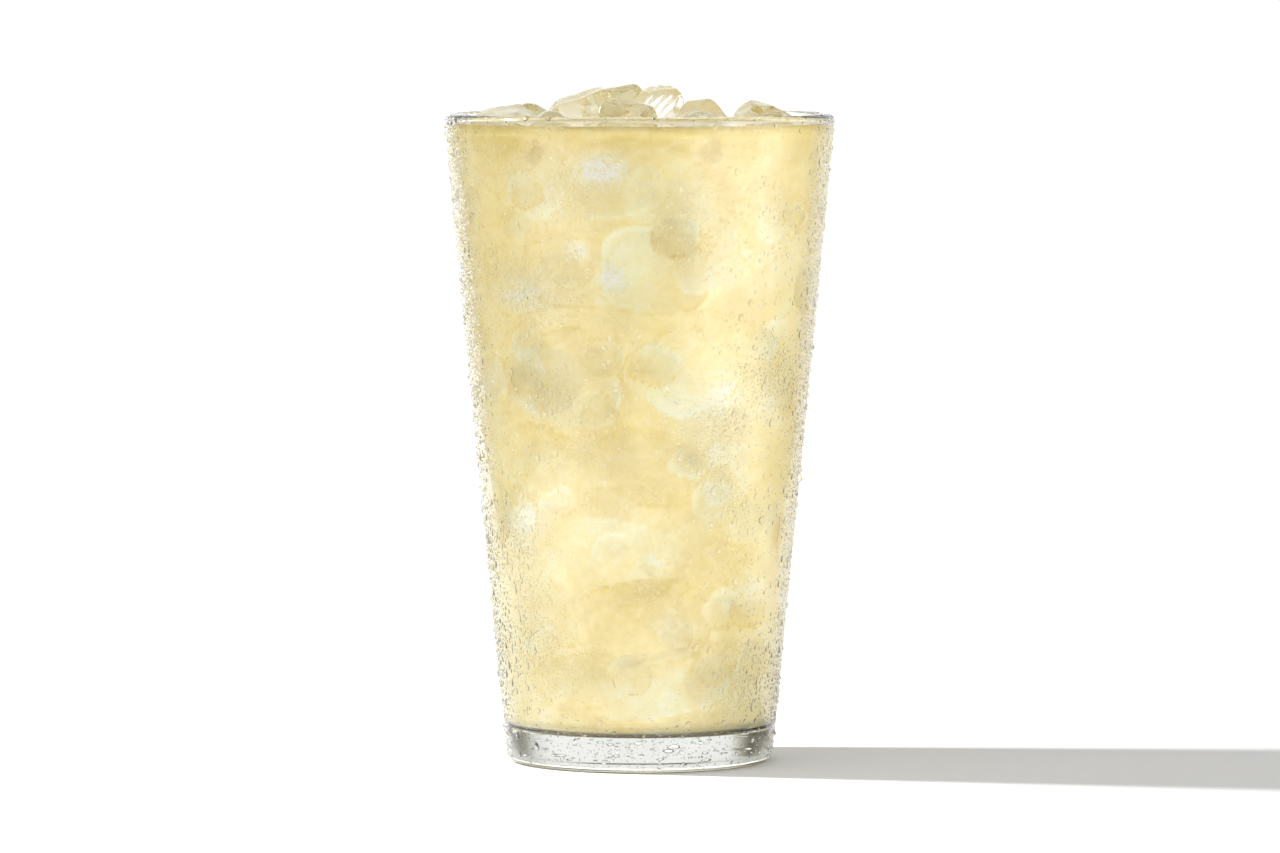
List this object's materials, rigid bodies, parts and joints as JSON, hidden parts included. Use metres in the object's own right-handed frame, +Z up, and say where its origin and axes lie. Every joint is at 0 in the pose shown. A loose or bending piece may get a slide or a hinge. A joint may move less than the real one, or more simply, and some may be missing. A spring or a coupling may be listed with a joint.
{
  "type": "glass of lemonade with ice",
  "caption": "Tapered clear pint glass filled almost to the rim with cloudy pale yellow lemonade, with ice standing out of it; the glass is wet with condensation.",
  "frame": {"origin": "centre of the foot, on the surface that the glass stands on", "axes": "+Z up along the glass's axis, +X to the viewer's right in the picture, +Y away from the viewer"},
  "size_m": [0.089, 0.089, 0.1554],
  "materials": {
    "glass": "clear, smooth soda-lime glass",
    "lemonade": "cloudy pale yellow drink",
    "ice": "wet, melting, partly cloudy ice"
  },
  "bodies": {
    "root": {"glass": "glass", "lemonade": "lemonade", "ice_left_front": "ice", "ice_left_back": "ice", "ice_slab": "ice", "ice_middle_back": "ice", "ice_middle_front": "ice", "ice_ribbed": "ice", "ice_right_front": "ice", "ice_right": "ice", "ice_right_low": "ice", "ice_back_right": "ice", "ice_back": "ice", "ice_back_left": "ice", "ice_front_left": "ice", "ice_front_right": "ice"}
  },
  "joints": []
}
